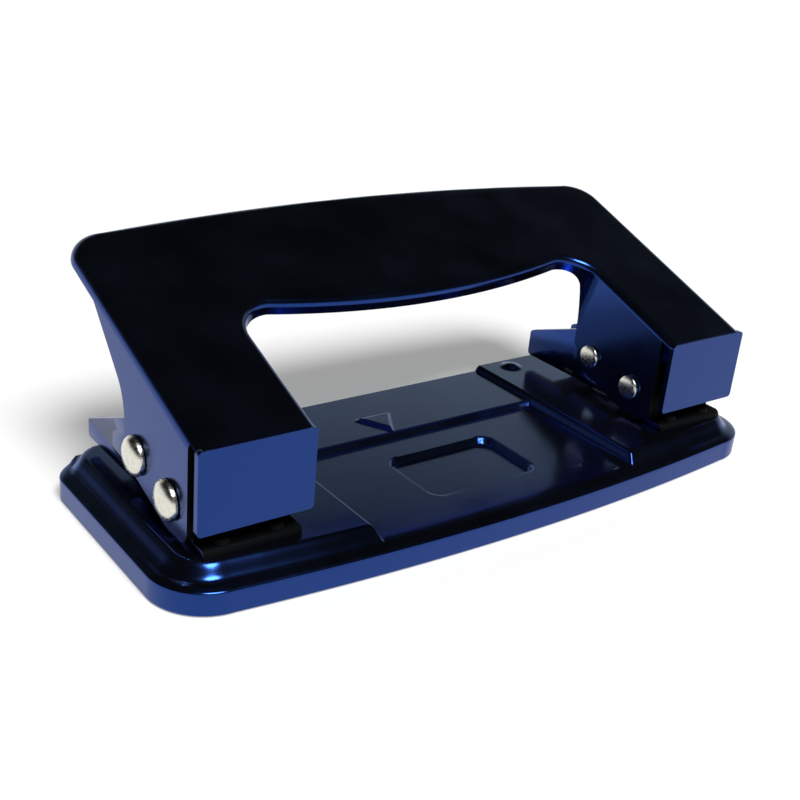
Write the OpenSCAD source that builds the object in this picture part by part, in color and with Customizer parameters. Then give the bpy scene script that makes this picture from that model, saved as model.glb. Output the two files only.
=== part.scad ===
// Two-hole paper punch in pressed steel.
// X runs along the length, -Y is the side with the bare front flaps, +Y the side where paper goes in.
// The origin is the middle of the underside.

/* [Base] */
// Length of the base
base_len = 105; // [100:0.5:130]
// Depth of the base at its two ends
base_depth = 38; // [37:0.5:46]
// Y of the rear edge of the base
rear_y = 20.5; // [20:0.5:24]
// How far the front edge bows out in the middle
front_bow = 3.4; // [0:0.1:6]
// Radius of the two front corners
front_corner_r = 8; // [5:0.5:10]
// Radius of the two rear corners
rear_corner_r = 4.5; // [2:0.5:6]
// Thickness of the base sheet
base_t = 0.9; // [0.7:0.05:1.2]
// Height of the upright skirt
skirt_z = 3.2; // [2.8:0.1:3.6]
// Width of the shoulder that rises from the skirt
shoulder_w = 3.6; // [2.5:0.1:4.2]
// Height of the front deck
front_deck_z = 4; // [3.7:0.1:4.3]
// Height of the rear deck
rear_deck_z = 4.9; // [4.5:0.1:5.3]
// Height of the pads that carry the brackets and dies
pad_z = 5.8; // [5.5:0.1:6]
// Distance from the middle to the inner edge of a pad
pad_inner_x = 24; // [16:0.5:27]
// Distance from a leg's middle to the dome pressed up beside it
dome_in = 11; // [10.5:0.1:13]
// Distance from the rear edge to that dome
dome_rear = 3.6; // [3:0.1:8]
// Radius of the dome
dome_edge_r = 2.2; // [1.5:0.1:2.6]
// Height of the dome
dome_h = 0.6; // [0.4:0.05:0.8]
// Y of the step between the front and rear decks
step_y = 6; // [3:0.1:9]
// Run of the sloped steps between the levels
step_run = 1.1; // [0.6:0.1:1.6]
// Run of the slope from the shoulder up to a pad
pad_run = 2.1; // [1.2:0.1:2.3]
// Radius of a pad's rear corner
pad_corner_r = 4; // [2:0.25:5]
// Ledge between the rear edge and what rises behind it
rear_ledge = 0.6; // [0.4:0.1:1]

/* [Recess and mark] */
// Length of the bare recess in the front deck
recess_len = 19; // [10:0.5:26]
// Depth of the recess from front to rear
recess_depth = 12; // [8:0.5:13]
// How deep the recess is pressed in
recess_drop = 1; // [0.6:0.1:1.2]
// Y of the middle of the recess
recess_y = -6; // [-8:0.5:-4]
// Radius of the recess's corners
recess_r = 2.2; // [1:0.1:3]
// Width of the raised middle mark
mark_w = 6.2; // [4:0.1:9]
// Length of the raised middle mark
mark_len = 5.4; // [4:0.1:7]
// Height of the middle mark above the rear deck
mark_h = 0.5; // [0.3:0.1:0.8]
// X of the middle mark
mark_x = -4; // [-8:0.5:8]
// Gap between the step and the mark's tip
mark_gap = 0.3; // [0.1:0.1:1]

/* [Chip tray] */
// Thickness of the tray's floor and walls
tray_t = 0.8; // [0.6:0.1:1]
// Gap between the tray and the skirt
tray_gap = 0.15; // [0.1:0.05:0.3]
// Height that the skirt stays above the table
skirt_lift = 0.25; // [0.2:0.05:0.5]
// Height of the tray's walls
tray_wall_z = 2; // [1.6:0.1:2.2]

/* [Punches] */
// Distance between the two holes
hole_pitch = 80; // [76:0.5:84]
// Radius of a punch
punch_r = 3; // [2.7:0.05:3.2]
// Y of the punches
punch_y = 1.5; // [1:0.1:2.2]
// Distance from a hole's centre to the edge of the paper
margin = 12; // [11:0.25:13]
// Thickness of the stripper plates
stripper_t = 1; // [0.8:0.05:1.1]
// Reach of a stripper plate in front of its punch
stripper_front = 8; // [6.6:0.1:9]
// Reach of a stripper plate behind its punch
stripper_rear = 10; // [7:0.5:12]
// Distance from a punch to the keys that hold its stripper
key_y = 5.5; // [5:0.1:5.5]
// Length of a key
key_len = 2; // [1.5:0.1:2.2]
// Height of the paper slot over the pads
slot_h = 1.6; // [1.2:0.1:2]
// How far a punch's tip is drawn in above the slot
tip_rest = 0.2; // [0.1:0.05:0.4]
// Height of a punch's top above its drive pin
punch_head = 11.2; // [10.8:0.1:11.4]
// Radius of the hollow ground across the cutting end
tip_hollow_r = 9; // [6:0.5:14]
// Depth of that hollow
tip_hollow = 0.6; // [0.3:0.1:1]
// Running clearance of a punch in its guides
guide_gap = 0.06; // [0.03:0.01:0.1]
// Radius of a die's upper part
die_r = 4.6; // [4.2:0.1:5.2]
// Width of the ledge that holds a die up against the base sheet
die_ledge = 1; // [0.6:0.1:1.4]
// Thickness of a die's ledge
die_ledge_t = 1; // [0.6:0.1:1.2]
// Gap between a die's ledge and the walls under the pad
die_gap = 0.1; // [0.05:0.05:0.3]

/* [Brackets] */
// Thickness of the bracket sheet
bracket_t = 1.2; // [1:0.05:1.4]
// Height of the top of the brackets
bracket_top_z = 16.2; // [16:0.1:16.8]
// Y of the rear end of the outer ears
outer_ear_y = 20; // [17:0.2:20]
// Height of the outer ear's upper rear corner
outer_ear_z = 10.3; // [10:0.1:12]
// Y of the rear end of the inner ears
inner_ear_y = 17.4; // [15:0.2:19]
// Height of the inner ear's upper rear corner
inner_ear_z = 12; // [10:0.1:13]
// Y where the ear's top edge starts to fall
ear_start_y = 5.4; // [5.4:0.1:8]
// Radius of the ear's corners
ear_r = 0.7; // [0.6:0.1:1.8]
// Depth of the foot in front of the stop wall
foot_depth = 2.8; // [2.6:0.1:3]
// Radius of the foot's upper front edge
foot_edge_r = 0.8; // [0.3:0.1:1]
// Radius of a foot rivet's shank
rivet_r = 0.9; // [0.7:0.05:1]
// Radius of a foot rivet's head
rivet_head_r = 1.15; // [1.1:0.05:1.3]
// Radius of the flat on a foot rivet's head
rivet_crown_r = 0.9; // [0.7:0.05:1]
// Height of a foot rivet's head
rivet_head_h = 0.7; // [0.5:0.1:0.9]
// Distance between the two rivets of a foot
rivet_pitch = 7.6; // [5:0.2:9]

/* [Lever] */
// Slope of the handle's plate at rest
plate_slope = 20; // [18:0.5:22]
// Length of the plate along its slope
plate_len = 45.3; // [42:0.1:47]
// How far the plate's top edge bows out
plate_bow = 2.4; // [0:0.1:3]
// Radius of the plate's top corners
plate_corner_r = 5.5; // [4:0.25:8]
// Radius of the bend round the plate's edges
plate_bend_r = 1.8; // [1.2:0.1:2.4]
// Thickness of the handle sheet
handle_t = 0.9; // [0.7:0.05:1]
// Width of a leg
leg_w = 16.2; // [15.8:0.1:17]
// Gap between a leg's flanges and its bracket
leg_gap = 0.3; // [0.2:0.05:0.5]
// Y of the outer face of the front flaps
flap_y = -15; // [-15.5:0.1:-14.6]
// Height of the top of the front flaps
flap_top_z = 20.8; // [20.5:0.1:21.4]
// Height of the lower edge of the front flaps
flap_low_z = 9.5; // [8.6:0.1:10]
// Radius of the corners of the flaps
flap_r = 0.6; // [0.5:0.1:2]
// Y of the front edge of the flanges
flange_y = -12.4; // [-12.8:0.1:-12]
// Radius of the lower front corner of the flanges
flange_r = 2.2; // [1.5:0.1:3]
// Y of the rear edge of the inner flanges
flange_rear_y = 5.6; // [5.4:0.1:6.4]
// Depth of the rim round the bar
rim_depth = 2; // [1.9:0.1:3]
// Depth of the lip over the opening
lip_depth = 2.2; // [1.8:0.1:3]
// Distance from the flaps to the lip at the legs, along the plate
lip_at_leg = 23.2; // [22.6:0.1:24]
// How far the lip dips in the middle
lip_dip = 2.8; // [0:0.1:3.2]
// Inner radius of the bend round the opening
lip_bend_r = 0.2; // [0.1:0.05:0.8]
// Radius of the opening's corners, seen square to the plate
opening_r = 5.5; // [4:0.1:8]
// How far the rear edge of an outer flange lies behind its drive lobe
arm_back = 0.5; // [0.3:0.1:1]
// Height where the rear edge of an outer flange starts to sweep back
arm_z = 16.4; // [15:0.1:17]
// Radius of that sweep
arm_r = 8; // [4:0.1:10]
// Angle that the rear edge leans at above the sweep
arm_angle = 47; // [44:1:60]

/* [Pins] */
// Y of the pivot pins
pivot_y = -7.7; // [-8:0.1:-7]
// Height of the pivot pins
pivot_z = 11.2; // [11:0.1:11.6]
// Height of the drive pins at rest
drive_z = 13; // [12.8:0.1:13.2]
// Radius of the pins
pin_r = 1.6; // [1.4:0.05:1.7]
// Radius of the domed outer heads
pin_head_r = 2.7; // [2.3:0.05:3]
// Height of the domed outer heads
pin_head_h = 1.5; // [1.1:0.1:1.9]
// Radius of the upset inner ends
pin_end_r = 1.9; // [1.8:0.05:2.2]
// Height of the upset inner ends
pin_end_h = 0.8; // [0.5:0.1:1]
// Running clearance of the pins
pin_gap = 0.08; // [0.05:0.01:0.1]
// Clearance of a drive pin in the handle's slots
handle_slot_gap = 0.12; // [0.08:0.01:0.16]
// Clearance of a drive pin in the brackets' slots
bracket_slot_gap = 0.24; // [0.16:0.02:0.3]
// Gap between the pin heads and the flanges
head_gap = 0.15; // [0.1:0.05:0.25]
// Radius of the flange round the pivot pin
pivot_lobe_r = 4.4; // [4:0.1:4.6]
// Radius of the flange round the drive pin
drive_lobe_r = 3.2; // [3:0.1:3.4]
// Play of a drive pin along the handle's slots, to each side
drive_play = 0.25; // [0.2:0.05:0.4]
// Angle of a full press
press_angle = 17; // [14:1:17]

/* [Springs] */
// Diameter of the spring wire
wire_d = 0.7; // [0.5:0.05:0.8]
// Radius at the middle of the wire
spring_r = 3.75; // [3.7:0.05:4]
// Number of turns
spring_turns = 3.5; // [3:0.5:4]
// Length of a spring at rest
spring_len = 6.4; // [6:0.1:6.6]
// Thickness of the clip that holds a spring
clip_t = 0.8; // [0.6:0.05:0.9]
// Radius of the clip
clip_r = 4.2; // [4.1:0.05:4.4]
// Depth of the clip's groove in the punch
groove_depth = 0.45; // [0.3:0.05:0.6]
// How far each side of the clip's mouth closes in on the groove
clip_grip = 0.3; // [0.1:0.05:0.6]

/* [Hidden] */

$fn = 48;
eps = 0.01;
cut = 1;
past = 12;
least_r = 1;
far = 200;

LEFT = -1;
RIGHT = 1;
paint = [0.02, 0.02, 0.03];
steel = [0.75, 0.75, 0.72];
dark_steel = [0.42, 0.42, 0.42];
plastic = [0.06, 0.06, 0.07];

front_y = rear_y - base_depth;
half_leg = leg_w / 2;
flange_in = half_leg - handle_t;
cheek_out = flange_in - leg_gap;
cheek_in = cheek_out - bracket_t;
slot_top_z = pad_z + slot_h;
stop_y = punch_y - margin;
web_low_z = bracket_top_z - bracket_t;
leg_x = hole_pitch / 2;
handle_half = leg_x + half_leg;
bend_steps = 6;
shoulder_steps = 3;
turn_rings = 8;
wire_sides = 6;
opening_half = leg_x - half_leg;
lever_arm = punch_y - pivot_y;
stroke = lever_arm * sin(press_angle) + (drive_z - pivot_z) * (1 - cos(press_angle));
spring_top_z = bracket_top_z + spring_len;
drive_top_z = drive_z + punch_head;

// Points of an arc round [x, y], from one angle to another
function arc(c, r, from, to, steps = 8) =
    [for (i = [0:steps]) let (a = from + (to - from) * i / steps) [c[0] + r * cos(a), c[1] + r * sin(a)]];

// Extrudes a side view, drawn as [y, z], along X from one x to another
module side_slab(x0, x1) {
    translate([x0, 0, 0]) rotate([90, 0, 90]) linear_extrude(x1 - x0) children();
}

// A closed solid through a stack of outlines with as many points each, lowest first
module loft(outlines, heights) {
    n = len(outlines[0]);
    top = len(outlines) - 1;
    points = [for (k = [0:top], p = outlines[k]) [p[0], p[1], heights[k]]];
    sides = [for (k = [0:top - 1], i = [0:n - 1]) let (j = (i + 1) % n)
             each [[k * n + i, k * n + n + i, k * n + n + j], [k * n + i, k * n + n + j, k * n + j]]];
    polyhedron(points, concat([[for (i = [0:n - 1]) i], [for (i = [n - 1:-1:0]) top * n + i]], sides));
}

// A cylinder along X
module bar_x(x0, x1, r, y, z) {
    translate([x0, y, z]) rotate([0, 90, 0]) cylinder(h = x1 - x0, r = r);
}

// Places a leg's pieces, drawn with +X outwards, on either side
module on_leg(side) {
    translate([side * leg_x, 0, 0]) mirror([side < 0 ? 1 : 0, 0, 0]) children();
}

// Outline of the base, drawn in from its edge
function front_edge(x, inset) =
    front_y + inset - front_bow * (1 - pow(x / (base_len / 2 - inset), 2));

function base_outline(inset, rear_inset) =
    let (hx = base_len / 2 - inset, fr = front_corner_r - inset, rr = max(rear_corner_r - inset, least_r),
         ry = rear_y - rear_inset, cx = hx - fr, cy = front_edge(cx, inset) + fr)
    concat(arc([hx - rr, ry - rr], rr, 0, 90),
           arc([rr - hx, ry - rr], rr, 90, 180),
           arc([-cx, cy], fr, 180, 270),
           [for (i = [1:15]) let (x = -cx + 2 * cx * i / 16) [x, front_edge(x, inset)]],
           arc([cx, cy], fr, 270, 360));

// A slab with the base's outline and a rounded shoulder up to one level
module shouldered(in, foot_z, top_z) {
    angles = [for (i = [0:shoulder_steps]) 90 * i / shoulder_steps];
    loft(concat([base_outline(in, in)], [for (a = angles) base_outline(in + shoulder_w * (1 - cos(a)), in)]),
         concat([foot_z], [for (a = angles) skirt_z - in + (top_z - skirt_z) * sin(a)]));
}

// Outline of the right pad: the base's outline drawn in, and cut off at the pad's inner edge
function pad_outline(inset, rear_inset, inner) =
    let (hx = base_len / 2 - inset, fr = front_corner_r - inset, rr = pad_corner_r,
         ry = rear_y - rear_inset, cx = hx - fr, cy = front_edge(cx, inset) + fr)
    concat([for (i = [0:7]) let (x = inner + (cx - inner) * i / 8) [x, front_edge(x, inset)]],
           arc([cx, cy], fr, 270, 360), arc([hx - rr, ry - rr], rr, 0, 90), [[inner, ry]]);

// A pad, from inside the base up to its flat top
module pad(in) {
    foot = shoulder_w - pad_run + in;
    foot_z = skirt_z + (front_deck_z - skirt_z) * sqrt(1 - pow(pad_run / shoulder_w, 2));
    inner = pad_inner_x - step_run + in;
    outlines = [pad_outline(foot, rear_ledge + in, inner), pad_outline(foot, rear_ledge + in, inner),
                pad_outline(shoulder_w + in, rear_ledge + in, pad_inner_x + in)];
    loft(outlines, [skirt_z - 2 * base_t, foot_z - in, pad_z - in]);
}

// The rear deck, from inside the base up to its flat top
module rear_deck(in) {
    side_slab(-pad_inner_x - step_run - in, pad_inner_x + step_run + in)
        polygon([[step_y + in - step_run, skirt_z - 2 * base_t], [step_y + in - step_run, front_deck_z - in],
                 [step_y + in, rear_deck_z - in], [rear_y - rear_ledge - in, rear_deck_z - in],
                 [rear_y - rear_ledge - in, skirt_z - 2 * base_t]]);
}

// The pressed form of the base; drawn in by one sheet it gives the hollow underneath
module base_form(in) {
    shouldered(in, in > 0 ? -past : skirt_lift, front_deck_z);
    for (side = [LEFT, RIGHT]) mirror([side < 0 ? 1 : 0, 0, 0]) pad(in);
    rear_deck(in);
}

// A low dome, turned from an arc
module low_dome(edge_r, h) {
    ball_r = (edge_r * edge_r + h * h) / (2 * h);
    rim_angle = asin(edge_r / ball_r);
    rotate_extrude()
        polygon(concat([[0, -eps], [edge_r, -eps]], arc([0, h - ball_r], ball_r, 90 - rim_angle, 90)));
}

module recess_shape(grow) {
    r = recess_r + grow;
    hx = recess_len / 2 + grow - r;
    hy = recess_depth / 2 + grow - r;
    translate([0, recess_y]) polygon(concat(arc([hx, hy], r, 0, 90), arc([-hx, hy], r, 90, 180),
                                            arc([-hx, -hy], r, 180, 270), arc([hx, -hy], r, 270, 360)));
}

module rivet_places() {
    for (side = [LEFT, RIGHT], k = [-1, 1])
        translate([side * leg_x + k * rivet_pitch / 2, rivet_y(), 0]) children();
}
function rivet_y() = stop_y - bracket_t - foot_depth / 2;

module base_plate() {
    color(paint) difference() {
        union() {
            difference() {
                base_form(0);
                base_form(base_t);
            }
            translate([0, 0, front_deck_z - recess_drop - base_t])
                linear_extrude(recess_drop + base_t / 2) recess_shape(base_t);
            for (side = [LEFT, RIGHT]) translate([side * (leg_x - dome_in), rear_y - dome_rear, pad_z])
                low_dome(dome_edge_r, dome_h);
            translate([0, 0, rear_deck_z - eps]) linear_extrude(mark_h + eps)
                polygon([[mark_x - mark_w / 2, step_y + mark_gap + mark_len], [mark_x, step_y + mark_gap],
                         [mark_x + mark_w / 2, step_y + mark_gap + mark_len]]);
        }
        translate([0, 0, front_deck_z - recess_drop]) linear_extrude(far) recess_shape(0);
        for (side = [LEFT, RIGHT]) translate([side * leg_x, punch_y, 0]) cylinder(h = far, r = die_r);
        rivet_places() cylinder(h = far, r = rivet_r);
    }
}

module chip_tray() {
    edge = base_t + tray_gap;
    color(plastic) difference() {
        linear_extrude(tray_wall_z) polygon(base_outline(edge, edge));
        translate([0, 0, tray_t]) linear_extrude(far) polygon(base_outline(edge + tray_t, edge + tray_t));
    }
}

// Side view of one wall of a bracket: the slot's edge, the ear and the sloped top
module cheek_shape(ear_y, ear_z) {
    fall = atan2(bracket_top_z - ear_z, ear_y - ear_start_y);
    top_c = [ear_y - ear_r, ear_z - ear_r];
    low_c = [ear_y - ear_r, slot_top_z + ear_r];
    polygon(concat([[stop_y - bracket_t, pad_z], [stop_y, pad_z], [stop_y, slot_top_z]],
                   arc(low_c, ear_r, -90, 0), arc(top_c, ear_r, 0, 90 - fall),
                   [[ear_start_y, bracket_top_z]],
                   arc([stop_y - bracket_t + ear_r, bracket_top_z - ear_r], ear_r, 90, 180)));
}

// Side view of a bracket's foot, with its upper front edge rounded
module foot_shape() {
    wall_y = stop_y - bracket_t + eps;
    top_z = pad_z + bracket_t;
    c = [stop_y - bracket_t - foot_depth + foot_edge_r, top_z - foot_edge_r];
    polygon(concat([[wall_y, pad_z], [wall_y, top_z]], arc(c, foot_edge_r, 90, 180),
                   [[c[0] - foot_edge_r, pad_z]]));
}

// The slot that a drive pin travels in
module drive_slot(x0, x1) {
    r = pin_r + bracket_slot_gap;
    bar_x(x0, x1, r, punch_y, drive_z);
    bar_x(x0, x1, r, punch_y, drive_z - stroke);
    translate([x0, punch_y - r, drive_z - stroke]) cube([x1 - x0, 2 * r, stroke]);
}

module bracket(side) {
    color(paint) on_leg(side) difference() {
        union() {
            side_slab(cheek_in, cheek_out) cheek_shape(outer_ear_y, outer_ear_z);
            side_slab(-cheek_out, -cheek_in) cheek_shape(inner_ear_y, inner_ear_z);
            intersection() {
                translate([-cheek_out, stop_y - bracket_t, pad_z])
                    cube([2 * cheek_out, bracket_t, bracket_top_z - pad_z]);
                side_slab(-cheek_out, cheek_out) cheek_shape(inner_ear_y, inner_ear_z);
            }
            translate([-cheek_out, stop_y - bracket_t + ear_r, web_low_z])
                cube([2 * cheek_out, ear_start_y - stop_y + bracket_t - ear_r, bracket_t]);
            side_slab(-cheek_out, cheek_out) foot_shape();
        }
        bar_x(-far, far, pin_r, pivot_y, pivot_z);
        drive_slot(-far, far);
        translate([0, punch_y, web_low_z - cut]) cylinder(h = far, r = punch_r + guide_gap);
        for (k = [-1, 1]) translate([k * rivet_pitch / 2, rivet_y(), 0]) cylinder(h = far, r = rivet_r);
        translate([0, 0, slot_top_z]) stripper_tongues(cheek_out + cut);
    }
}

// Two tongues that key a stripper plate into the bracket's walls
module stripper_tongues(half_w) {
    for (y = [-key_y, key_y]) translate([-half_w, punch_y + y - key_len / 2, 0])
        cube([2 * half_w, key_len, stripper_t]);
}

module stripper(side) {
    color(dark_steel) on_leg(side) translate([0, 0, slot_top_z]) difference() {
        union() {
            translate([-cheek_in, punch_y - stripper_front, 0])
                cube([2 * cheek_in, stripper_front + stripper_rear, stripper_t]);
            stripper_tongues(cheek_out);
        }
        translate([0, punch_y, -cut]) cylinder(h = far, r = punch_r + guide_gap);
    }
}

// A rivet's lower head is set flat against the slope of the pad's hollow where it reaches it
module bracket_rivets(side) {
    sheet_low = pad_z - base_t;
    foot_top = pad_z + bracket_t;
    color(paint) on_leg(side) for (k = [-1, 1]) {
        translate([k * rivet_pitch / 2, rivet_y(), 0]) {
            translate([0, 0, sheet_low]) cylinder(h = foot_top - sheet_low, r = rivet_r);
            translate([0, 0, foot_top]) cylinder(h = rivet_head_h, r1 = rivet_head_r, r2 = rivet_crown_r);
        }
        intersection() {
            translate([k * rivet_pitch / 2, rivet_y(), sheet_low - rivet_head_h])
                cylinder(h = rivet_head_h, r = rivet_head_r);
            translate([-leg_x, 0, 0]) pad(base_t);
        }
    }
}

// The ledge is ground off where it would reach the walls under the pad
module die(side) {
    under = base_t + die_gap;
    color(dark_steel) on_leg(side) difference() {
        union() {
            translate([0, punch_y, pad_z - base_t - eps]) cylinder(h = base_t + eps, r = die_r);
            intersection() {
                translate([0, punch_y, pad_z - base_t - die_ledge_t])
                    cylinder(h = die_ledge_t, r = die_r + die_ledge);
                translate([-leg_x, 0, 0]) linear_extrude(far)
                    polygon(pad_outline(shoulder_w + under, rear_ledge + under, pad_inner_x + under));
            }
        }
        translate([0, punch_y, 0]) cylinder(h = far, r = punch_r + guide_gap);
    }
}

module punch(side) {
    tip_z = slot_top_z + tip_rest;
    color(steel) on_leg(side) translate([0, punch_y, 0]) difference() {
        translate([0, 0, tip_z]) cylinder(h = drive_top_z - tip_z, r = punch_r);
        bar_x(-far, far, pin_r, 0, drive_z);
        translate([0, 0, spring_top_z]) difference() {
            cylinder(h = clip_t, r = punch_r + cut);
            translate([0, 0, -cut]) cylinder(h = clip_t + 2 * cut, r = punch_r - groove_depth);
        }
        bar_x(-far, far, tip_hollow_r, 0, tip_z + tip_hollow - tip_hollow_r);
    }
}

// An open clip that snaps into the punch's groove
module spring_clip(side) {
    mouth = punch_r - groove_depth - clip_grip;
    color(steel) on_leg(side) translate([0, punch_y, spring_top_z]) difference() {
        cylinder(h = clip_t, r = clip_r);
        translate([0, 0, -cut]) cylinder(h = clip_t + 2 * cut, r = punch_r - groove_depth);
        translate([-mouth, 0, -cut]) cube([2 * mouth, far, clip_t + 2 * cut]);
    }
}

// Centre line of a spring, its frame and its tube
spring_rings = turn_rings * spring_turns;
spring_rise = spring_len - wire_d - 2 * eps;
function spring_angle(i) = 360 * spring_turns * i / spring_rings;
function spring_point(i) = [spring_r * cos(spring_angle(i)), spring_r * sin(spring_angle(i)),
                            bracket_top_z + wire_d / 2 + eps + spring_rise * i / spring_rings];
function spring_ring(i) = let (p = spring_point(i), a = spring_angle(i))
    [for (k = [0:wire_sides - 1]) let (b = 360 * k / wire_sides)
     p + wire_d / 2 * [cos(b) * cos(a), cos(b) * sin(a), sin(b)]];
// Least distance between points of the centre line half a turn or more apart, less the wire
spring_gap = min([for (i = [0:spring_rings - turn_rings / 2], j = [i + turn_rings / 2:spring_rings])
                  norm(spring_point(i) - spring_point(j))]) - wire_d;
echo(spring_gap = spring_gap);

module spring(side) {
    points = [for (i = [0:spring_rings]) each spring_ring(i)];
    n = wire_sides;
    last = n * spring_rings;
    faces = concat([for (k = [1:n - 2]) [0, k, k + 1]],
                   [for (k = [1:n - 2]) [last, last + k + 1, last + k]],
                   [for (i = [0:spring_rings - 1], k = [0:n - 1]) let (a = n * i + k, b = n * i + (k + 1) % n)
                    each [[a, a + n, b], [b, a + n, b + n]]]);
    color(steel) on_leg(side) translate([0, punch_y, 0]) polyhedron(points = points, faces = faces);
}

// A pin along X with a domed head outside the leg and an upset end inside it
module leg_pin(side, y, z) {
    grip = half_leg + head_gap;
    dome_r = (pin_head_r * pin_head_r + pin_head_h * pin_head_h) / (2 * pin_head_h);
    rim_angle = asin(pin_head_r / dome_r);
    dome = arc([0, grip + pin_head_h - dome_r], dome_r, 90 - rim_angle, 90);
    color(steel) on_leg(side) translate([0, y, z]) rotate([0, 90, 0]) rotate_extrude()
        polygon(concat([[0, -grip - pin_end_h], [pin_end_r, -grip - pin_end_h], [pin_end_r, -grip],
                        [pin_r, -grip], [pin_r, grip]], dome));
}

// Plan of the handle's plate, drawn in from its edge; the front runs past the flaps
function plate_plan(inset) =
    let (hx = handle_half - inset, r = plate_corner_r - inset, cx = hx - r, top = plate_len - plate_bow - inset)
    concat([[hx, -past]], arc([cx, top - r], r, 0, 90),
           [for (i = [1:11]) let (x = cx - cx * i / 6) [x, top + plate_bow * (1 - pow(x / cx, 2))]],
           arc([-cx, top - r], r, 90, 180), [[-hx, -past]]);

// The closed form of the handle under its plate, in the plate's own frame
module plate_form(in) {
    bend = plate_bend_r - in;
    angles = [for (i = [bend_steps:-1:0]) 90 * i / bend_steps];
    loft(concat([plate_plan(in)], [for (a = angles) plate_plan(in + bend * (1 - sin(a)))]),
         concat([-plate_len], [for (a = angles) -in - bend * (1 - cos(a))]));
}

module on_plate() {
    translate([0, flap_y, flap_top_z]) rotate([plate_slope, 0, 0]) children();
}

// A point of the plate's frame as [y, z] of the part
function plate_point(v, w) = [flap_y + v * cos(plate_slope) - w * sin(plate_slope),
                              flap_top_z + v * sin(plate_slope) + w * cos(plate_slope)];

// Front and lower edge of a flange: a round corner, the pivot lobe, the drive lobe, the foot of its rear edge
function flange_edge(y) =
    let (low_z = pivot_z - pivot_lobe_r, d = [lever_arm, drive_z - pivot_z],
         tangent = atan2(d[1], d[0]) - acos((pivot_lobe_r - drive_lobe_r) / norm(d)))
    concat([[flange_y, far]], arc([flange_y + flange_r, low_z + flange_r], flange_r, 180, 270),
           arc([pivot_y, pivot_z], pivot_lobe_r, -90, tangent, 3),
           arc([punch_y, drive_z], drive_lobe_r, tangent, 0),
           [[y, drive_z + y - punch_y - drive_lobe_r]]);

// Side view that the outer walls are cut to: the flange, its swept rear edge and the rim
module outer_wall_shape() {
    y0 = punch_y + drive_lobe_r + arm_back;
    sweep = arc([y0 + arm_r, arm_z], arm_r, 180, 90 + arm_angle);
    end = sweep[len(sweep) - 1];
    rim = plate_point(0, -rim_depth);
    lean = tan(arm_angle);
    flat = tan(plate_slope);
    y = (rim[1] - flat * rim[0] - end[1] + lean * end[0]) / (lean - flat);
    polygon(concat(flange_edge(y0), sweep, [[y, end[1] + lean * (y - end[0])],
                                            [far, rim[1] + flat * (far - rim[0])], [far, 2 * far]]));
}

// Side view that an inner flange is cut to, with the fillet that runs out into the lip
module inner_wall_shape() {
    r = (plate_point(lip_at_leg, -lip_depth)[0] - flange_rear_y) / (1 - sin(plate_slope));
    c = plate_point(lip_at_leg, -lip_depth - r);
    polygon(concat(flange_edge(flange_rear_y), arc(c, r, 180, 90 + plate_slope), rear_shape()));
}

// Side view that the lip is cut to, from the flaps to the bar's rim
module lip_shape() {
    polygon(concat([plate_point(-past, far), plate_point(-past, -lip_depth)], rear_shape()));
}

// Where the lip's depth gives way to the rim's, under the middle of the bar
function rear_shape() =
    let (mid = (lip_at_leg + plate_len) / 2)
    [plate_point(mid, -lip_depth), plate_point(mid, -rim_depth), plate_point(far, -rim_depth), [far, 2 * far]];

// Outline of the opening between the legs, in the plate's plan, drawn out into the sheet
function opening_outline(out) =
    let (hx = opening_half + out, r = opening_r + out, cx = opening_half - opening_r)
    concat([[hx, -2 * past]], arc([cx, lip_at_leg - opening_r], r, 0, 90),
           [for (i = [1:15]) let (x = cx * (1 - i / 8))
            [x, lip_at_leg + out - lip_dip * (1 - pow(x / cx, 2))]],
           arc([-cx, lip_at_leg - opening_r], r, 90, 180), [[-hx, -2 * past]]);

// The opening with the bend round its edge; drawn out by one sheet it gives the wall's inner face
module opening_form(out) {
    bend = lip_bend_r + handle_t - out;
    angles = [for (i = [bend_steps:-1:0]) 90 * i / bend_steps];
    loft(concat([opening_outline(out)], [for (a = angles) opening_outline(out + bend * (1 - sin(a)))],
                [opening_outline(out + bend)]),
         concat([-plate_len - past], [for (a = angles) -out - bend * (1 - cos(a))], [past]));
}

module flap() {
    w = leg_w;
    hz = flap_top_z - flap_low_z;
    translate([-w / 2, flap_y + handle_t, flap_low_z]) rotate([90, 0, 0]) linear_extrude(handle_t)
        polygon(concat(arc([flap_r, flap_r], flap_r, 180, 270), arc([w - flap_r, flap_r], flap_r, 270, 360),
                       arc([w - flap_r, hz - flap_r], flap_r, 0, 90),
                       arc([flap_r, hz - flap_r], flap_r, 90, 180)));
}

// The bent sheet before its edges are cut
module handle_sheet() {
    on_plate() difference() {
        plate_form(0);
        opening_form(0);
        difference() {
            plate_form(handle_t);
            opening_form(handle_t);
        }
    }
}

// What is kept of the sheet: its walls down to their cut edges, and the whole plate
module handle_cut() {
    lip_half = opening_half - opening_r;
    for (side = [LEFT, RIGHT]) mirror([side < 0 ? 1 : 0, 0, 0]) {
        side_slab(leg_x, far / 2) outer_wall_shape();
        side_slab(lip_half, leg_x + eps) inner_wall_shape();
    }
    side_slab(-lip_half - eps, lip_half + eps) lip_shape();
    on_plate() translate([-far / 2, -far / 2, -handle_t - eps]) cube(far);
}

module handle() {
    slot_r = pin_r + handle_slot_gap;
    color(paint) difference() {
        union() {
            difference() {
                handle_sheet();
                difference() {
                    translate([-far / 2, -far / 2, -far / 2]) cube(far);
                    handle_cut();
                }
                translate([-far / 2, flap_y - far, -far / 2]) cube(far);
            }
            for (side = [LEFT, RIGHT]) translate([side * leg_x, 0, 0]) flap();
        }
        bar_x(-far, far, pin_r + pin_gap, pivot_y, pivot_z);
        for (y = [-drive_play, drive_play]) bar_x(-far, far, slot_r, punch_y + y, drive_z);
        translate([-far, punch_y - drive_play, drive_z - slot_r]) cube([2 * far, 2 * drive_play, 2 * slot_r]);
    }
}

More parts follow.
